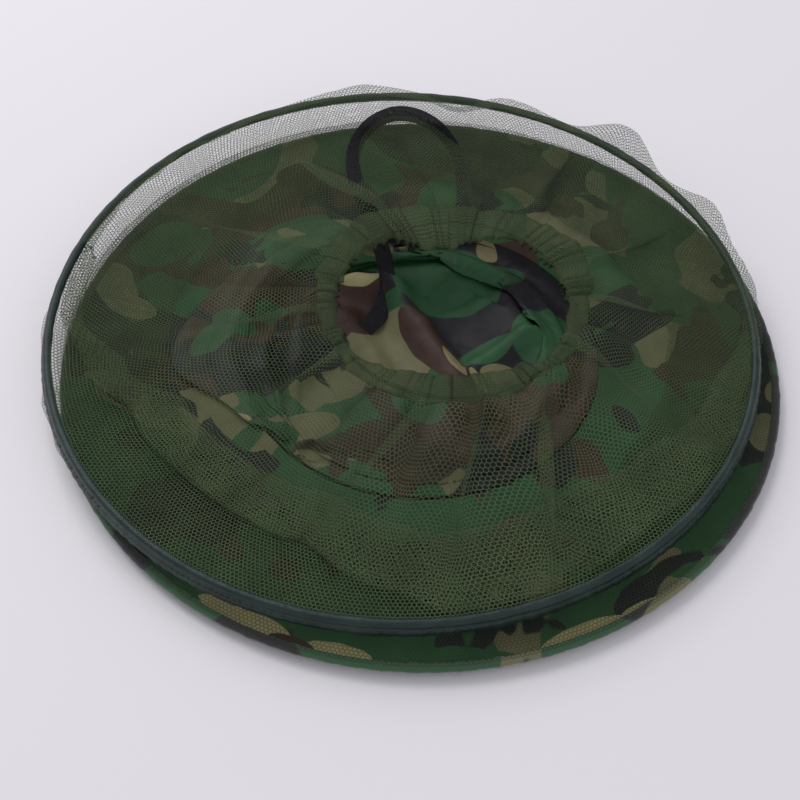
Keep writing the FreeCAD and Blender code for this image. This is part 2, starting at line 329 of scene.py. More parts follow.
# hexagonal netting: where the thread is, and its rounded height
def makeMeshGroup():
    tree, given, made = newGroup("hexagon net", [
        ("Vector", "Vector", None), ("Pitch", "Float", 0.0019), ("Thread", "Float", 0.18),
        ("Unevenness", "Float", 0.1)], [("Mask", "Float"), ("Height", "Float")])
    cells = addNode(tree, "VectorMath", {0: given.outputs["Vector"]}, operation="SCALE")
    tree.links.new(maths(tree, "DIVIDE", 1.0, given.outputs["Pitch"]), cells.inputs["Scale"])
    drift = addNode(tree, "TexNoise", {"Vector": cells.outputs[0], "Scale": 0.35, "Detail": 1.0})
    centred = vectorMaths(tree, "SUBTRACT", drift.outputs["Color"], (0.5, 0.5, 0.5))
    shifted = addNode(tree, "VectorMath", {0: centred}, operation="SCALE")
    tree.links.new(given.outputs["Unevenness"], shifted.inputs["Scale"])
    place = vectorMaths(tree, "ADD", cells.outputs[0], shifted.outputs[0])
    place = vectorMaths(tree, "ADD", vectorMaths(tree, "MULTIPLY", place, (1, 1, 0)), (50, 86.60254, 0))
    cell, half = (1, 1.7320508, 1), (0.5, 0.8660254, 0)
    one = vectorMaths(tree, "SUBTRACT", vectorMaths(tree, "MODULO", place, cell), half)
    other = vectorMaths(tree, "SUBTRACT", vectorMaths(
        tree, "MODULO", vectorMaths(tree, "ADD", place, half), cell), half)
    nearer = maths(tree, "GREATER_THAN", vectorMaths(tree, "DOT_PRODUCT", one, one, 1),
                   vectorMaths(tree, "DOT_PRODUCT", other, other, 1))
    pick = addNode(tree, "Mix", {0: nearer, 4: one, 5: other}, data_type="VECTOR")
    size = vectorMaths(tree, "ABSOLUTE", pick.outputs[1])
    slant = vectorMaths(tree, "DOT_PRODUCT", size, (0.5, 0.8660254, 0), 1)
    level = vectorMaths(tree, "DOT_PRODUCT", size, (1, 0, 0), 1)
    edge = maths(tree, "SUBTRACT", 0.5, maths(tree, "MAXIMUM", slant, level))
    share = maths(tree, "DIVIDE", edge, given.outputs["Thread"])
    tree.links.new(ramp(tree, share, 0.75, 0.35), made.inputs["Mask"])
    tree.links.new(ramp(tree, share, 0.7, 0.0), made.inputs["Height"])
    return tree


# woodland pattern: khaki ground with green, brown and black patches, hard-edged
def makeCamouflageGroup():
    tree, given, made = newGroup("woodland pattern", [
        ("Vector", "Vector", None), ("Scale", "Float", 12.0), ("Shift", "Vector", (0, 0, 0)),
        ("Khaki", "Color", None), ("Green", "Color", None), ("Brown", "Color", None),
        ("Black", "Color", None),
        ("Green Share", "Float", 0.47), ("Brown Share", "Float", 0.56), ("Black Share", "Float", 0.60)],
        [("Color", "Color")])
    flat = vectorMaths(tree, "ADD", given.outputs["Vector"], given.outputs["Shift"])
    colour = given.outputs["Khaki"]
    for i, (name, spread) in enumerate((("Green", 1.0), ("Brown", 1.25), ("Black", 1.5))):
        moved = vectorMaths(tree, "ADD", flat, (3.7 * i, 1.9 * i, 5.3 * i))
        size = maths(tree, "MULTIPLY", given.outputs["Scale"], spread)
        field = addNode(tree, "TexNoise", {"Vector": moved, "Scale": size, "Detail": 2.2, "Roughness": 0.42,
                                          "Distortion": 0.9})
        above = maths(tree, "SUBTRACT", field.outputs["Fac"], given.outputs[name + " Share"])
        colour = mixColour(tree, ramp(tree, above, -0.004, 0.004), colour, given.outputs[name])
    tree.links.new(colour, made.inputs["Color"])
    return tree


# one patch of the pattern: an oval with an uneven outline
def makePatchGroup():
    tree, given, made = newGroup("pattern patch", [
        ("Vector", "Vector", None), ("Place", "Vector", None), ("Turn", "Float", 0.0),
        ("Half Size", "Vector", (1, 1, 1)),
        ("Unevenness", "Float", 0.5)], [("Mask", "Float")])
    drift = addNode(tree, "TexNoise", {"Vector": given.outputs["Vector"], "Scale": 34.0, "Detail": 1.5})
    centred = vectorMaths(tree, "SUBTRACT", drift.outputs["Color"], (0.5, 0.5, 0.5))
    local = vectorMaths(tree, "SUBTRACT", given.outputs["Vector"], given.outputs["Place"])
    turned = addNode(tree, "VectorRotate", {"Vector": local, "Angle": given.outputs["Turn"]},
                     rotation_type="Z_AXIS")
    scaled = vectorMaths(tree, "DIVIDE", turned.outputs[0], given.outputs["Half Size"])
    warp = addNode(tree, "VectorMath", {0: centred}, operation="SCALE")
    tree.links.new(given.outputs["Unevenness"], warp.inputs["Scale"])
    bent = vectorMaths(tree, "MULTIPLY", vectorMaths(tree, "ADD", scaled, warp.outputs[0]), (1, 1, 0))
    distance = vectorMaths(tree, "LENGTH", bent, output=1)
    tree.links.new(ramp(tree, distance, 1.02, 0.98), made.inputs["Mask"])
    return tree


# height of a plain weave on the flat cloth
def makeWeaveGroup():
    tree, given, made = newGroup("plain weave", [("Vector", "Vector", None), ("Spacing", "Float", 0.0005)],
                                 [("Height", "Float")])
    parts = addNode(tree, "SeparateXYZ", {0: given.outputs["Vector"]})
    rate = maths(tree, "DIVIDE", math.pi, given.outputs["Spacing"])
    over = maths(tree, "SINE", maths(tree, "MULTIPLY", parts.outputs["X"], rate))
    under = maths(tree, "SINE", maths(tree, "MULTIPLY", parts.outputs["Y"], rate))
    tree.links.new(maths(tree, "MULTIPLY", over, under), made.inputs["Height"])
    return tree


# slanting ribs of a narrow woven tape, cord or thread, broken up by lint
def makeRibsGroup():
    tree, given, made = newGroup("slanting ribs", [("Vector", "Vector", None), ("Scale", "Float", 900.0),
                                                   ("Lint", "Float", 400.0)],
                                 [("Height", "Float"), ("Mask", "Float")])
    lines = addNode(tree, "TexWave", {"Vector": given.outputs["Vector"], "Scale": given.outputs["Scale"],
                                      "Distortion": 1.5, "Detail": 1.0}, bands_direction="DIAGONAL")
    lint = addNode(tree, "TexNoise", {"Vector": given.outputs["Vector"], "Scale": given.outputs["Lint"],
                                      "Detail": 3.0})
    tree.links.new(lines.outputs["Fac"], made.inputs["Height"])
    tree.links.new(maths(tree, "MULTIPLY", lines.outputs["Fac"], lint.outputs["Fac"]), made.inputs["Mask"])
    return tree


# dull spots on bare metal
def makeStainsGroup():
    tree, given, made = newGroup("dull spots", [("Vector", "Vector", None), ("Scale", "Float", 300.0)],
                                 [("Mask", "Float"), ("Height", "Float")])
    spots = addNode(tree, "TexNoise", {"Vector": given.outputs["Vector"], "Scale": given.outputs["Scale"],
                                       "Detail": 5.0, "Roughness": 0.6})
    tree.links.new(ramp(tree, spots.outputs["Fac"], 0.35, 0.7), made.inputs["Mask"])
    tree.links.new(spots.outputs["Fac"], made.inputs["Height"])
    return tree


slantingRibs = makeRibsGroup()
dullSpots = makeStainsGroup()
hexNet = makeMeshGroup()
woodland = makeCamouflageGroup()
patternPatch = makePatchGroup()
plainWeave = makeWeaveGroup()

dyes = {"khaki": (0.145, 0.138, 0.068, 1), "green": (0.022, 0.078, 0.03, 1),
        "brown": (0.045, 0.022, 0.016, 1), "black": (0.013, 0.012, 0.015, 1), "tan": (0.20, 0.175, 0.085, 1),
        "sand": (0.30, 0.27, 0.13, 1)}


# where a point lies on the table, in metres, for patterns that are placed from above
def flatVector(tree):
    coordinates = addNode(tree, "TexCoord")
    return vectorMaths(tree, "MULTIPLY", coordinates.outputs["Object"], (1, 1, 0))


def cutVector(tree):
    return addNode(tree, "UVMap", uv_map="cut").outputs[0]


# the printed ground of a cloth, before its patches
def printedGround(tree, pattern, vector):
    return useGroup(tree, woodland, {
        "Vector": vector, "Scale": pattern["scale"], "Shift": pattern["shift"],
        "Khaki": dyes["khaki"], "Green": dyes["green"], "Brown": dyes["brown"], "Black": dyes["black"],
        "Green Share": pattern["green"], "Brown Share": pattern["brown"], "Black Share": pattern["black"]})


# printed cloth: the woodland pattern, patches put where they show, a weave and a soft crumple
def camouflage(name, pattern, patches, roughness, weave, sheen, specular):
    material, shader = newMaterial(name, roughness, **{"Sheen Weight": sheen, "Specular IOR Level": specular,
                                                       "Sheen Roughness": 0.4})
    tree = material.node_tree
    flat = flatVector(tree)
    colour = printedGround(tree, pattern, flat).outputs["Color"]
    for dye, x, y, long, wide, degrees in patches:
        mask = useGroup(tree, patternPatch, {
            "Vector": flat, "Place": (x * mm, y * mm, 0), "Turn": -math.radians(degrees),
            "Half Size": (long * mm, wide * mm, 1), "Unevenness": pattern["uneven"]})
        colour = mixColour(tree, mask.outputs[0], colour, dyes[dye])
    fade = addNode(tree, "TexNoise", {"Vector": flat, "Scale": 45.0, "Detail": 4.0})
    # random tone from the noise, times a factor below 1 that darkens the whole print as painted shade of
    # cloth lying under the netting
    shade = ramp(tree, fade.outputs["Fac"], 0.3, 0.7, 0.86 * pattern["paintedShade"], 1.1 * pattern["paintedShade"])
    dimmed = addNode(tree, "VectorMath", {0: colour}, operation="SCALE")
    tree.links.new(shade, dimmed.inputs["Scale"])
    tree.links.new(dimmed.outputs[0], shader.inputs["Base Color"])
    threads = useGroup(tree, plainWeave, {"Vector": cutVector(tree), "Spacing": weave})
    crumple = addNode(tree, "TexNoise", {"Vector": flat, "Scale": 60.0, "Detail": 3.0, "Distortion": 0.8})
    small = addBump(tree, shader, threads.outputs[0], 0.25, 0.0002)
    addBump(tree, shader, crumple.outputs["Fac"], 0.35, 0.004, small)
    return material


# netting as a see-through sheet. Where it is gathered it closes up by the given share
def netting(name, colour, pitch, thread, layered=0.0):
    material, shader = newMaterial(name, 0.6, **{"Specular IOR Level": 0.08})
    tree = material.node_tree
    net = useGroup(tree, hexNet, {"Vector": cutVector(tree), "Pitch": pitch, "Thread": thread,
                                  "Unevenness": 0.35})
    tint = addNode(tree, "TexNoise", {"Vector": cutVector(tree), "Scale": 30.0, "Detail": 3.0})
    share = ramp(tree, tint.outputs["Fac"], 0.3, 0.7)
    darker = tuple(c * 0.68 for c in colour) + (1,)
    tree.links.new(mixColour(tree, share, darker, (*colour, 1)), shader.inputs["Base Color"])
    tree.links.new(maths(tree, "MAXIMUM", net.outputs["Mask"], layered), shader.inputs["Alpha"])
    addBump(tree, shader, net.outputs["Height"], 0.4, 0.0003)
    return material


# the first factor scales the whole print darker: painted shade of cloth under the netting, stronger on the
# brim than on the crown
brimPattern = {"paintedShade": 0.9, "scale": 11.0, "shift": (0.3, 0.1, 0.0), "green": 0.43,
               "brown": 0.56, "black": 0.56, "uneven": 0.7}
crownPattern = {"paintedShade": 0.95, "scale": 13.0, "shift": (0.9, 0.5, 0.0), "green": 0.42,
                "brown": 0.54, "black": 0.55, "uneven": 0.55}
brimPatches = [
    ("sand", -82, -163, 24, 6, -26), ("sand", -38, -180, 17, 4, -12), ("sand", 76, -170, 24, 6, 24),
    ("sand", 105, -158, 16, 7, 34), ("black", 187, 8, 28, 9, 95), ("green", 156, -98, 38, 14, 58),
    ("khaki", 177, -48, 12, 8, 75), ("khaki", 186, -20, 8, 5, 80), ("green", 10, -186, 34, 8, 5),
    ("brown", -60, -176, 12, 4, -20), ("green", -118, -146, 22, 8, -45), ("khaki", -168, 50, 11, 18, 20),
    ("khaki", -158, 34, 17, 8, -30),
    ("black", -152, 12, 30, 10, 20), ("green", -144, 84, 24, 16, 40),
]
crownPatches = [
    ("black", 50, 40, 62, 48, 20),
    ("green", 12, 60, 34, 30, -20), ("green", 34, 60, 24, 12, 10),
    ("khaki", -16, 4, 26, 26, 30), ("brown", 8, 4, 34, 10, -55),
    ("tan", 18, -5, 12, 4, -60), ("tan", 31, -14, 9, 2.5, -60),
    ("tan", 38, 81, 8, 5, -60),
    ("green", 66, 14, 18, 20, -20), ("green", 36, 5, 16, 8, 20), ("khaki", 42, -8, 10, 5, 0),
    ("brown", -80, 38, 52, 22, -10), ("green", -62, 76, 26, 11, 14), ("black", -84, -8, 50, 17, 24),
    ("green", -110, 8, 18, 8, 50), ("green", -100, 19, 12, 8, -20), ("green", -82, 32, 9, 6, 35),
    ("sand", -104, -50, 17, 6, 8),
    ("brown", -116, -30, 11, 12, 40), ("khaki", -62, -46, 22, 10, 20), ("green", -84, -60, 24, 12, 25),
    ("brown", -6, -58, 34, 20, -10), ("sand", -112, 72, 40, 5, 40),
    ("brown", -36, 40, 16, 24, 20), ("sand", -31, 58, 15, 8, 5),
]
makeSurroundings(floorSettings, lightSettings)
scene.view_settings.view_transform = "Standard"
scene.cycles.transparent_max_bounces = 32
print("light and materials ready")


# Cloth that is dropped and left to settle

# lets a sheet fall from its start shape. Its rest lengths are those of the laid-out cut
def drape(obj, cut, held, colliders, d):
    mesh = obj.data
    obj.shape_key_add(name="start")
    flat = obj.shape_key_add(name="cut")
    flat.data.foreach_set("co", np.asarray(cut, np.float32).ravel())
    flat.value = 0
    group = obj.vertex_groups.new(name="held")
    for index in np.nonzero(held > 0)[0]:
        group.add([int(index)], float(held[index]), "REPLACE")
    hits = []
    for other in colliders:
        hit = other.modifiers.new("hit", "COLLISION")
        other.collision.thickness_outer = d["gap"] * mm
        other.collision.use_culling = False
        other.collision.cloth_friction = d["friction"]
        hits.append((other, hit))
    cloth = obj.modifiers.new("settle", "CLOTH")
    settings = cloth.settings
    settings.quality = d["quality"]
    settings.mass = d["weight"]
    settings.tension_stiffness = d["tension"]
    settings.compression_stiffness = d["compression"]
    settings.shear_stiffness = d["shear"]
    settings.bending_stiffness = d["bend"]
    settings.air_damping = d["air"]
    settings.vertex_group_mass = "held"
    settings.rest_shape_key = flat
    cloth.collision_settings.distance_min = d["gap"] * mm
    cloth.collision_settings.collision_quality = d["collisionQuality"]
    cloth.point_cache.frame_start = 1
    cloth.point_cache.frame_end = d["frames"]
    for frameNumber in range(1, d["frames"] + 1):
        scene.frame_set(frameNumber)
    settled = obj.evaluated_get(bpy.context.evaluated_depsgraph_get())
    places = readPlaces(settled.data)
    obj.modifiers.clear()
    obj.shape_key_clear()
    obj.vertex_groups.clear()
    setPlaces(mesh, places)
    for other, hit in hits:
        other.modifiers.remove(hit)
    scene.frame_set(1)


# sets a sheet to its laid-out places and bakes its transform, then puts it back as it lies
def blendLaidOut(obj, laid):
    lies = readPlaces(obj.data)
    setPlaces(obj.data, laid)
    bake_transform(obj)
    setPlaces(obj.data, lies)


# Crown

crown = {"wallAround": 240, "wallAlong": 28, "wallHeight": 88, "panelCount": 90,
         "settle": {"frames": 30, "bend": 0.35, "weight": 0.25, "gap": 0.9, "friction": 12, "quality": 7,
                    "tension": 12, "compression": 8, "shear": 4, "air": 3, "collisionQuality": 3},
         # degrees, how far the wall leans out (above 0) or in
         "lean": [(0, -0.6), (30, -0.9), (60, -0.3), (90, 0.1), (115, 0.8), (150, 1.0), (180, 1.1),
                  (205, 1.0), (225, 0.5), (245, -0.4), (275, -0.8), (310, -1.0), (340, -0.8)],
         # ridges of the panel: from, to, height, half width
         "ridges": [(-14, 46, 30, -34, 13, 9), (-40, 30, -10, -30, 7, 10), (48, 30, 74, 0, 12, 13),
                    (30, -2, 56, 14, 6, 7), (-50, 62, -12, 52, 9, 9), (20, 78, 70, 44, 5, 12),
                    (6, 28, 50, 50, 3.5, 7), (-66, 42, -64, -6, 13, 13)]}


def crownPanelHeight(x, y, c):
    z = np.full_like(x, 1.2 * mm)
    for x0, y0, x1, y1, height, width in c["ridges"]:
        along = np.array([x1 - x0, y1 - y0], float)
        length = np.hypot(*along)
        along /= length
        dx, dy = x / mm - x0, y / mm - y0
        run = np.clip(dx * along[0] + dy * along[1], 0, length)
        off = np.hypot(dx - run * along[0], dy - run * along[1])
        side = dx * -along[1] + dy * along[0]
        skew = np.where(side > 0, 0.75, 1.35)
        z += height * mm * np.exp(-(off / (width * skew)) ** 2) * 0.9
    return z


# a coarse stand-in for a finished sheet, for cloth to fall on; it's removed afterwards
def makeStand(name, around, along, place):
    return ringSheet(name, around, along, (1, 1), place)


def brimStand():
    return makeStand("brim_stand", 64, 2, lambda angle, v: ringPlaces(
        angle, headRadius + 1 * mm + (183 * mm - headRadius) * v, 10.4 * mm, (0, 0)))


def floorStand():
    return makeStand("floor_stand", 48, 6, lambda angle, v: ringPlaces(
        angle, 60 * mm + 90 * mm * v, 0.4 * mm, (0, 0)))


def makeCrown(c):
    cloth = camouflage("printed satin", crownPattern, crownPatches, 0.5, 0.0006, 0.0, 0.2)
    panel = bmesh.new()
    panel.loops.layers.uv.new("cut")
    count = c["panelCount"]
    bmesh.ops.create_grid(panel, x_segments=count, y_segments=count, size=1, calc_uvs=True)
    square = np.array([v.co[:2] for v in panel.verts])
    x = square[:, 0] * np.sqrt(1 - square[:, 1] ** 2 / 2) * crownTop["radius"]
    y = square[:, 1] * np.sqrt(1 - square[:, 0] ** 2 / 2) * crownTop["radius"]
    rim = smoothStep(1.0, 0.86, np.hypot(x, y) / crownTop["radius"])
    z = 1.2 * mm + (crownPanelHeight(x, y, c) - 1.2 * mm) * (0.25 + 0.75 * rim)
    points = np.stack([x, y, z], axis=1)
    z += (bumps(points * (1, 1, 0), 38, 3) * 1.6 * mm + 1.0 * mm) * rim
    for vert, point in zip(panel.verts, zip(x, y, np.maximum(z, 0.8 * mm))):
        vert.co = point
    uv = panel.loops.layers.uv["cut"]
    for face in panel.faces:
        for loop in face.loops:
            loop[uv].uv = loop.vert.co.xy + Vector((0.1, 0.1))
    top = linkMesh("crown_panel", panel)
    top.data.materials.append(cloth)
    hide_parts("crown_top")
    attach(top, "crown")

    low, high = 1.4 * mm, 10.2 * mm
    cutWidth = turn * (crownTop["radius"] + headRadius) / 2
    height = c["wallHeight"] * mm

    def start(angle, v):
        lean, = aroundTable(angle, c["lean"])
        lean = lean + 0.25 * waves(angle, 5, (3, 5, 8))
        arch = np.sin(math.pi * v)
        radius = crownTop["radius"] - 0.5 * mm + (headRadius - crownTop["radius"] - 0.5 * mm) * v
        out = np.where(lean > 0, 40, 30) * mm
        radius = radius + lean * out * arch ** 1.5 * smoothStep(0, 0.4, v + 0.15)
        radius = radius - np.clip(lean, 0, 1) * 4 * mm * np.sin(math.pi * np.clip(v * 1.5, 0, 1))
        z = low + (high - low) * v + arch * (26 + 5 * waves(angle, 8, (7, 11, 16))) * mm
        return ringPlaces(angle, radius, z, (0, 0))

    def laid(angle, v):
        radius = crownTop["radius"] + (headRadius - crownTop["radius"]) * v
        return ringPlaces(angle, radius, low + v * height, (0, 0))

    wall = ringSheet("crown_wall", c["wallAround"], c["wallAlong"], (cutWidth, height), start)
    upright = readPlacesOf(wall, laid)
    v = (upright[:, 2] - low) / height
    held = np.where((v < 0.01) | (v > 0.99), 1.0, 0.0)

    def floorUnder(angle, v):
        radius = 4 * mm + (crownTop["radius"] - 5 * mm) * v
        x, y = radius * np.cos(angle), radius * np.sin(angle)
        return np.stack([x, y, crownPanelHeight(x, y, c)], axis=1)

    stands = [makeStand("panel_stand", 48, 14, floorUnder), brimStand(), floorStand()]
    drape(wall, upright, held, stands, c["settle"])
    for stand in stands:
        bpy.data.objects.remove(stand)
    relax(wall, 1)
    wall.data.materials.append(cloth)
    blendLaidOut(wall, upright)
    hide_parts("crown_side")


# a ring sheet's vertices placed by another function of angle and share along
def readPlacesOf(obj, place):
    uv = obj.data.uv_layers["cut"].data
    count = len(obj.data.vertices)
    flat = np.zeros((count, 2))
    coordinates = np.zeros(len(uv) * 2, np.float32)
    uv.foreach_get("uv", coordinates)
    coordinates = coordinates.reshape(-1, 2)
    corners = np.zeros(len(uv), np.int32)
    obj.data.loops.foreach_get("vertex_index", corners)
    flat[corners] = coordinates
    width, length = coordinates.max(axis=0)
    return place(flat[:, 0] / width * turn, flat[:, 1] / length)


def relax(obj, times):
    bm = bmesh.new()
    bm.from_mesh(obj.data)
    inside = [v for v in bm.verts if not v.is_boundary]
    for _ in range(times):
        bmesh.ops.smooth_vert(bm, verts=inside, factor=0.5, use_axis_x=True, use_axis_y=True, use_axis_z=True)
    bm.to_mesh(obj.data)
    bm.free()
    obj.data.update()


# Brim

brim = {"around": 520, "along": 34, "pucker": 0.35, "swell": 1.4}


def makeBrim(b):
    cloth = camouflage("printed plain weave", brimPattern, brimPatches, 0.75, 0.0005, 0.05, 0.2)
    for node, side in (("brim_under_cloth", 1), ("brim_upper_cloth", -1)):
        inner, outer = headRadius, wireRadius - 1.2 * mm

        def place(angle, v):
            radius = inner + (outer - inner) * v
            z = 9 * mm + (6.5 - 9) * mm * v + side * 0.45 * mm
            swell = b["swell"] * mm * np.sin(math.pi * v) * (0.6 + 0.4 * waves(angle, 21, (2, 3, 5)))
            edge = smoothStep(0.86, 0.93, v) * smoothStep(1.0, 0.97, v)
            z = z + swell * 0.5 + side * 0.5 * mm * np.sin(math.pi * v)
            z = z + side * b["pucker"] * mm * edge * waves(angle, 9, (61, 83, 109))
            return ringPlaces(angle, radius, z, (0, 0))

        cut = (turn * (inner + outer) / 2, outer - inner)
        sheet = ringSheet(node + "_sheet", b["around"], b["along"], cut, place)
        if side > 0:
            flipFaces(sheet)
        sheet.data.materials.append(cloth)
        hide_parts(node)
        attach(sheet, "brim")


def flipFaces(obj):
    bm = bmesh.new()
    bm.from_mesh(obj.data)
    bmesh.ops.reverse_faces(bm, faces=bm.faces)
    bm.to_mesh(obj.data)
    bm.free()


# a closed tube round a ring; place takes the angles round the ring and round the tube
def tubeRing(name, around, section, place):
    bm = bmesh.new()
    bm.loops.layers.uv.new("cut")
    bmesh.ops.create_grid(bm, x_segments=around, y_segments=section, size=0.5, calc_uvs=True)
    flat = np.array([v.co[:2] for v in bm.verts]) + 0.5
    for vert, point in zip(bm.verts, place(flat[:, 0] * turn, flat[:, 1] * turn)):
        vert.co = point
    bmesh.ops.remove_doubles(bm, verts=bm.verts, dist=1e-6)
    bmesh.ops.recalc_face_normals(bm, faces=bm.faces)
    uv = bm.loops.layers.uv["cut"]
    for face in bm.faces:
        for loop in face.loops:
            loop[uv].uv = (loop[uv].uv.x * 1.18, loop[uv].uv.y * 0.016)
    return linkMesh(name, bm)


makeBrim(brim)
makeCrown(crown)
print("brim and crown ready")

# Netting

# one olive net at two brightnesses: the lower netting's colour is darkened as painted shade, since it lies
# under the upper netting, and the upper netting's colour is brightened as painted light where its threads
# catch the lamps
paintedShadeNetting = netting("olive netting, lower, painted shade", (0.042, 0.060, 0.027), 0.0022, 0.105)
paintedLightNetting = netting("olive netting, upper, painted light", (0.094, 0.128, 0.060), 0.0023, 0.135)
hemNetting = netting("gathered netting", (0.066, 0.090, 0.042), 0.0014, 0.22, layered=0.34)

hem = {"around": 1500, "section": 22, "pleats": 62,
       # degrees, inner and outer radius of the gathered band
       "edge": [(0, 60, 71), (18, 60, 78), (36, 60, 82), (54, 60, 79), (72, 51, 74), (90, 41, 74),
                (108, 43, 77), (126, 58, 81), (144, 60, 78), (162, 60, 74), (180, 60, 71), (198, 60, 69),
                (216, 60, 70), (234, 54, 70), (252, 49, 70), (270, 48, 68), (288, 49, 67), (306, 52, 67),
                (324, 60, 68), (342, 60, 70)]}

lowerNet = {"around": 460, "along": 40, "cut": 150,
            # degrees round the brim with the slack's middle radius, and how far its edges swell out
            "slack": [(0, 134), (45, 128), (90, 130), (135, 128), (180, 132), (215, 126), (250, 124),
                      (290, 122), (325, 128)],
            "swell": [(0, 0), (60, 2), (100, 5), (150, 6), (190, 3), (230, 0), (300, 0)],
            "heights": (8.9, 11.2, 12.2, 14.5, 16.4)}
upperNet = {
    "around": 820, "along": 72, "cut": 205, "hemWidth": 0.72,
    # degrees, height of the netting halfway between hoop and hem
    "middle": [(0, 27), (60, 31), (110, 32), (150, 30), (190, 29), (230, 27), (280, 24), (330, 26)],
    # degrees round the hoop, radius and height of the slack's crest, depth of the fold below it
    "crest": [(7, 190, 24, 4), (24, 184, 38, 0), (36, 180, 32, 0), (46, 187, 40, 0), (58, 176, 31, 0),
              (66, 172, 42, 0), (80, 170, 29, 0), (96, 177, 37, 0), (112, 177, 31, 0), (130, 180, 25, 0),
              (150, 182, 23, 2), (176, 181, 22, 8), (190, 168, 20, 22), (205, 151, 20, 30),
              (228, 148, 20, 32), (251, 149, 20, 38), (269, 168, 20, 46), (278, 182, 21, 52),
              (293, 183, 21, 52), (310, 178, 21, 48), (325, 181, 21, 38), (345, 185, 22, 22)],
    # strong folds: degrees at the hem, turn towards the hoop, width, share where they start, height
    "folds": [(186, 4, 7, 0.42, 5), (214, 6, 6, 0.38, 5), (76, -4, 5, 0.40, 5), (57, -6, 6, 0.36, 6),
              (26, -6, 6, 0.40, 6), (4, -8, 6, 0.42, 5), (312, -34, 9, 0.24, 8), (334, -4, 7, 0.30, 6),
              (118, 8, 8, 0.42, 5), (148, 6, 6, 0.45, 4), (258, -10, 7, 0.34, 5), (286, -20, 6, 0.40, 5)],
}
neckCentre = (neck["x"], neck["y"])
hoopCentre = (hoop["x"], hoop["y"])


def makeLowerNet(n):
    def lies(angle, v):
        slack, = aroundTable(angle, n["slack"])
        slack = slack * mm + 2.5 * mm * waves(angle, 31, (9, 14, 22))
        out, = aroundTable(angle, n["swell"])
        knots = (0, 0.12, 0.5, 0.88, 1)
        heights = [h * mm for h in n["heights"]]
        edge = wireRadius + 1.2 * mm
        flange = casing["radius"] - 1.2 * mm
        ripple = 1.2 * mm * waves(angle, 33, (17, 26, 41))
        radius = threadCurve(v, knots, [np.full_like(angle, edge), edge - 7 * mm + out * mm, slack,
                                        flange - 5 * mm + out * mm + ripple, np.full_like(angle, flange)])
        z = threadCurve(v, knots, [np.full_like(angle, heights[0]), heights[1] + ripple * 0.3,
                                   heights[2] + ripple * 0.5, heights[3] + ripple * 0.8,
                                   np.full_like(angle, heights[4])])
        share = smoothStep(0.2, 1.0, v)
        return ringPlaces(angle, radius, z, (hoopCentre[0] * share, hoopCentre[1] * share))

    def laid(angle, v):
        return ringPlaces(angle, wireRadius + 0 * v, 9 * mm + v * n["cut"] * mm, (0, 0))

    net = ringSheet("lower_net", n["around"], n["along"], (turn * wireRadius, n["cut"] * mm), lies, even=True)
    net.data.materials.append(paintedShadeNetting)
    upright = readPlacesOf(net, laid)
    blendLaidOut(net, upright)
    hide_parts("lower_veil")


def hemEdges(angle):
    ragged = waves(angle, 64, (17, 26, 39))
    inner, outer = aroundTable(angle, hem["edge"])
    return (inner + 1.1 * ragged) * mm, (outer + 1.3 * waves(angle, 65, (11, 19, 31))) * mm


# sideways shift and lift of the netting where it is drawn into folds; share is how far it is drawn
def gather(angle, n, share):
    phase = 25 * angle + 1.9 * waves(angle, 41, (3, 5, 8))
    fine = 58 * angle + 2.4 * waves(angle, 42, (7, 11, 13))
    close = smoothStep(0.35, 1.0, share)
    shift = 0.047 * np.sin(phase) * close + 0.018 * np.sin(fine) * smoothStep(0.7, 1.0, share)
    lift = (2.1 * np.cos(phase) * close + 0.7 * np.cos(fine) * smoothStep(0.7, 1.0, share)) * mm
    for degrees, lean, width, reach, height in n["folds"]:
        middle = math.radians(degrees) + math.radians(lean) * (1 - share)
        away = np.angle(np.exp(1j * (angle - middle))) / math.radians(width)
        near = np.exp(-away ** 2) * smoothStep(reach - 0.12, reach + 0.4, share)
        shift -= 1.3 * math.radians(width) * away * near
        lift += height * mm * near * (0.8 + 0.35 * away)
    return shift, lift


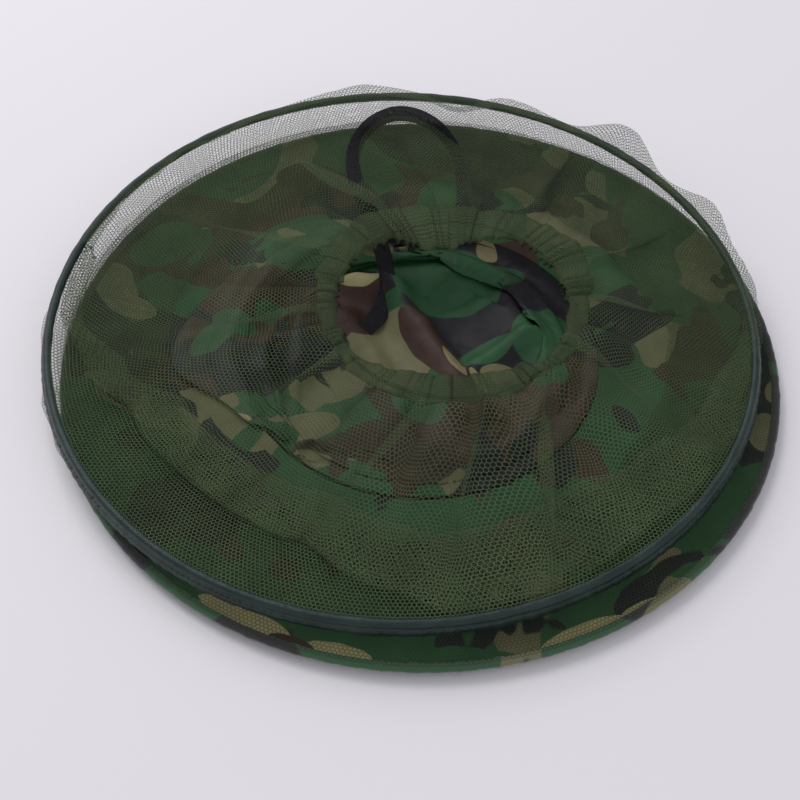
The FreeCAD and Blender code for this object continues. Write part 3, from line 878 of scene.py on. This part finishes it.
def makeUpperNet(n):
    top = neck["z"] + 0.5 * mm

    def lies(angle, v):
        crest, height, fold = (a * mm for a in aroundTable(angle, n["crest"]))
        _, outer = hemEdges(angle)
        knots = (0, 0.17, 0.36, 0.62, 0.86, 1)
        wide = waves(angle, 43, (7, 11, 15), 0.8)
        level = np.full_like(angle, hoop["z"] + 2.2 * mm)
        middle, = aroundTable(angle, n["middle"])
        radius = threadCurve(v, knots, [np.full_like(angle, hoopRadius + 0.8 * mm), crest - fold, crest,
                                        0.45 * crest + 0.55 * outer + 4 * mm * wide,
                                        0.13 * crest + 0.87 * outer, outer - 2 * mm])
        z = threadCurve(v, knots, [level, np.where(fold > 5 * mm, 14 * mm, level * 0.4 + height * 0.6),
                                   height, middle * mm + 2.5 * mm * wide, 36 * mm + 1.0 * mm * wide,
                                   np.full_like(angle, top)])
        shift, lift = gather(angle, n, v)
        shape = threadCurve(v, knots, [np.full_like(angle, share) for share in (0, 0, 0, 0.5, 0.9, 1)])
        centre = (hoopCentre[0] + (neckCentre[0] - hoopCentre[0]) * shape,
                  hoopCentre[1] + (neckCentre[1] - hoopCentre[1]) * shape)
        soft = 1.0 * mm * waves(angle, 44, (13, 23, 29)) * smoothStep(0.03, 0.2, v) * smoothStep(0.5, 0.3, v)
        z = z + lift * smoothStep(1.0, 0.94, v) + soft * 0.7
        return ringPlaces(angle + shift, radius + soft, z, centre)

    def laid(angle, v):
        radius = hoopRadius + (n["hemWidth"] / turn - hoopRadius) * v
        return ringPlaces(angle, radius, hoop["z"] + v * n["cut"] * mm, (0, 0))

    net = ringSheet("upper_net", n["around"], n["along"], (turn * hoopRadius, n["cut"] * mm), lies, even=True)
    upright = readPlacesOf(net, laid)
    net.data.materials.append(paintedLightNetting)
    blendLaidOut(net, upright)
    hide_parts("upper_veil")


makeLowerNet(lowerNet)
makeUpperNet(upperNet)
print("netting ready")


# Hoop casing, neck hem and brim binding

casingTape = {"around": 900, "section": 28, "round": 2.35, "flange": 4.3, "flangeTurn": 0.30, "fold": -58}


def makeCasing(c):
    material, shader = newMaterial("teal satin tape", 0.36, **{"Specular IOR Level": 0.32})
    tree = material.node_tree
    spots = addNode(tree, "TexNoise", {"Vector": cutVector(tree), "Scale": 55.0, "Detail": 4.0})
    tint = mixColour(tree, ramp(tree, spots.outputs["Fac"], 0.3, 0.7), (0.006, 0.018, 0.015, 1),
                     (0.014, 0.033, 0.027, 1))
    tree.links.new(tint, shader.inputs["Base Color"])
    threads = useGroup(tree, plainWeave, {"Vector": cutVector(tree), "Spacing": 0.0006})
    small = addBump(tree, shader, threads.outputs[0], 0.3, 0.0002)
    crumple = addNode(tree, "TexNoise", {"Vector": cutVector(tree), "Scale": 260.0, "Detail": 3.0})
    addBump(tree, shader, crumple.outputs["Fac"], 0.5, 0.001, small)

    def place(angle, around):
        # a round fold over the wire with its two edges sewn together below and outside
        fold = np.deg2rad(c["fold"])
        away = np.abs(np.angle(np.exp(1j * (around - fold))))
        reach = c["round"] * mm + c["flange"] * mm * np.exp(-(away / c["flangeTurn"]) ** 2)
        reach = reach + 0.16 * mm * waves(angle, 51, (37, 58, 90))
        reach = reach + 0.3 * mm * waves(angle, 52, (160, 211)) * (away < 0.7)
        radius = hoopRadius + reach * np.cos(around)
        z = hoop["z"] + reach * np.sin(around) + 0.35 * mm * waves(angle, 53, (5, 9, 14)) * (away < 0.7)
        return ringPlaces(angle, radius, z, hoopCentre)

    tape = tubeRing("hoop_casing", c["around"], c["section"], place)
    tape.data.materials.append(material)
    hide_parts("veil_hoop_casing")
    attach(tape, "veil_hoop")


def makeNeckHem(n):
    def place(angle, around):
        inner, outer = hemEdges(angle)
        side = np.cos(around)
        reach = (side + 1) / 2
        phase = n["pleats"] * angle + 4.5 * waves(angle, 61, (5, 9, 13, 21))
        ruffle = np.cos(phase) * (0.75 + 0.45 * waves(angle, 62, (4, 7, 11, 17))) * mm
        radius = inner + (outer - inner) * reach + ruffle * 0.9 * (1 - reach)
        thick = (1.9 + 0.3 * waves(angle, 66, (19, 31))) * mm
        z = neck["z"] + (1.4 * reach - 0.5) * mm + thick * np.sin(around) * (1.25 - 0.6 * reach)
        z = z + ruffle * (1.3 - 0.5 * reach) + 0.5 * mm * waves(angle, 67, (3, 5, 8)) * (1 - reach)
        return ringPlaces(angle + 0.016 * np.sin(phase), radius, z, neckCentre)

    roll = tubeRing("neck_hem_roll", n["around"], n["section"], place)
    uv = roll.data.uv_layers["cut"].data
    for item in uv:
        item.uv = (item.uv.x * 0.8, item.uv.y * 2.4)
    roll.data.materials.append(hemNetting)
    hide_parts("neck_hem")
    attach(roll, "neck")


edgeBinding = {"around": 700, "section": 16, "round": 2.35}


def makeBinding(b):
    material, shader = newMaterial("edge tape", 0.7, **{"Sheen Weight": 0.3})
    tree = material.node_tree
    ground = printedGround(tree, brimPattern, flatVector(tree))
    tree.links.new(ground.outputs["Color"], shader.inputs["Base Color"])

    def place(angle, around):
        reach = b["round"] * mm + 0.15 * mm * waves(angle, 71, (61, 90, 120))
        reach = reach + 0.1 * mm * waves(angle, 72, (200,))
        radius = wireRadius + reach * np.cos(around)
        z = brimWire["z"] + reach * np.sin(around)
        return ringPlaces(angle, radius, z, (0, 0))

    tape = tubeRing("brim_edge_tape", b["around"], b["section"], place)
    tape.data.materials.append(material)
    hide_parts("brim_binding")
    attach(tape, "brim")


makeCasing(casingTape)
makeNeckHem(hem)
makeBinding(edgeBinding)

# Chin strap

strap = {"width": 10, "length": 288, "thickness": 0.35,
         # x, y, z and twist in degrees
         "route": [(26, 113, 13.8, 80), (25, 128, 17.5, 40), (20, 146, 27, 18), (7, 162, 33, 10),
                   (-13, 169, 35, 5), (-30, 158, 35, 15), (-39, 138, 34.5, 40), (-39, 116, 34, 62),
                   (-32, 95, 32, 80), (-25, 77, 26, 85), (-19, 59, 18, 65), (-17, 40, 11.5, 60),
                   (-25, 24, 8, 70), (-39, 14, 6.3, 85), (-54, 13, 5.8, 90), (-68.5, 17.5, 6, 90)]}


def ribbonCloth():
    material, shader = newMaterial("black ribbon", 0.62, **{"Specular IOR Level": 0.18, "Sheen Weight": 0.03})
    tree = material.node_tree
    ribs = useGroup(tree, slantingRibs, {"Vector": addNode(tree, "TexCoord").outputs["Object"],
                                         "Scale": 900.0, "Lint": 420.0})
    tree.links.new(mixColour(tree, ribs.outputs["Mask"], (0.006, 0.006, 0.008, 1), (0.020, 0.018, 0.024, 1)),
                   shader.inputs["Base Color"])
    addBump(tree, shader, ribs.outputs["Height"], 0.3, 0.0002)
    tree.links.new(ramp(tree, ribs.outputs["Mask"], 0.0, 0.5, 0.72, 0.94), shader.inputs["Alpha"])
    return material


def makeStrap(s):
    material = ribbonCloth()
    curve = bpy.data.curves.new("chin_strap_ribbon", "CURVE")
    curve.dimensions = "3D"
    spline = curve.splines.new("NURBS")
    spline.points.add(len(s["route"]) - 1)
    for point, place in zip(spline.points, s["route"]):
        point.co = (*(Vector(place[:3]) * mm), 1)
        point.tilt = math.radians(place[3])
    spline.order_u = 3
    spline.use_endpoint_u = True
    spline.resolution_u = 12
    curve.twist_mode = "Z_UP"
    curve.extrude = s["width"] / 2 * mm
    curve.bevel_depth = s["thickness"] / 2 * mm
    curve.bevel_resolution = 1
    ribbon = bpy.data.objects.new("chin_strap_ribbon", curve)
    scene.collection.objects.link(ribbon)
    curve.materials.append(material)
    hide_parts("chin_strap")
    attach(ribbon, "brim")
    for node in ("chin_strap_back_tab", "chin_strap_side_tab"):
        dress(node, material)


def dress(node, material):
    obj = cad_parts[node]
    obj.data.materials.clear()
    obj.data.materials.append(material)


makeStrap(strap)


def wornMetal(name, colour, scale, low, high):
    material, shader = newMaterial(name, 0.35, **{"Metallic": 1.0})
    tree = material.node_tree
    spots = useGroup(tree, dullSpots, {"Vector": addNode(tree, "TexCoord").outputs["Object"], "Scale": scale})
    dull = tuple(c * 0.55 for c in colour)
    tint = mixColour(tree, spots.outputs["Mask"], (*colour, 1), (*dull, 1))
    tree.links.new(tint, shader.inputs["Base Color"])
    tree.links.new(ramp(tree, spots.outputs["Height"], 0.3, 0.7, low, high), shader.inputs["Roughness"])
    addBump(tree, shader, spots.outputs["Height"], 0.15, 0.0002)
    return material


def ribbedCloth(name, colour, scale, roughness):
    material, shader = newMaterial(name, roughness, **{"Sheen Weight": 0.1, "Specular IOR Level": 0.25})
    tree = material.node_tree
    ribs = useGroup(tree, slantingRibs, {"Vector": addNode(tree, "TexCoord").outputs["Object"],
                                         "Scale": scale, "Lint": 90.0})
    dark = tuple(c * 0.6 for c in colour)
    tint = mixColour(tree, ribs.outputs["Mask"], (*dark, 1), (*colour, 1))
    tree.links.new(tint, shader.inputs["Base Color"])
    addBump(tree, shader, ribs.outputs["Height"], 0.4, 0.0003)
    return material


dress("brim_hoop_wire", wornMetal("spring steel", (0.42, 0.42, 0.44), 260.0, 0.22, 0.5))
dress("veil_hoop_wire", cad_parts["brim_hoop_wire"].data.materials[0])
dress("brim_hoop_ferrule", wornMetal("crimped sleeve", (0.50, 0.47, 0.40), 340.0, 0.3, 0.55))
dress("veil_hoop_ferrule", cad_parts["brim_hoop_ferrule"].data.materials[0])
dress("sweatband", ribbedCloth("sweatband tape", (0.030, 0.036, 0.022), 420.0, 0.8))
dress("neck_elastic", ribbedCloth("covered elastic", (0.040, 0.050, 0.028), 900.0, 0.7))


# Rows of stitches

stitches = {"count": 380, "length": 2.1, "thick": 0.42, "slant": 0.12,
            "brimTurn": 122, "brimReach": 2.45, "tapeTurn": 0.27, "tapeReach": 4.2}


# short threads round a ring; place gives radius, height and the ring's middle
def makeStitches(name, body, s, place):
    radius, z, middle = place(s)
    bm = bmesh.new()
    for index in range(s["count"]):
        angle = turn * index / s["count"]
        spot = Matrix.Translation((middle[0] + radius * math.cos(angle),
                                   middle[1] + radius * math.sin(angle), z))
        shape = Matrix.Diagonal((s["thick"] * mm, s["length"] * mm, s["thick"] * mm, 1))
        bmesh.ops.create_uvsphere(bm, u_segments=8, v_segments=5, radius=0.5,
                                  matrix=spot @ Matrix.Rotation(angle + s["slant"], 4, "Z") @ shape)
    row = linkMesh(name, bm)
    row.data.materials.append(oliveThread)
    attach(row, body)


def brimEdgeRow(s):
    around = math.radians(s["brimTurn"])
    reach = s["brimReach"] * mm
    return wireRadius + reach * math.cos(around), brimWire["z"] + reach * math.sin(around), (0, 0)


def tapeRow(s):
    around = math.radians(casingTape["fold"]) + s["tapeTurn"]
    reach = s["tapeReach"] * mm
    return hoopRadius + reach * math.cos(around), hoop["z"] + reach * math.sin(around), hoopCentre


oliveThread = ribbedCloth("olive thread", (0.060, 0.070, 0.042), 1400.0, 0.6)
makeStitches("brim_edge_stitches", "brim", stitches, brimEdgeRow)
makeStitches("hoop_tape_stitches", "veil_hoop", stitches, tapeRow)
print("trim ready")
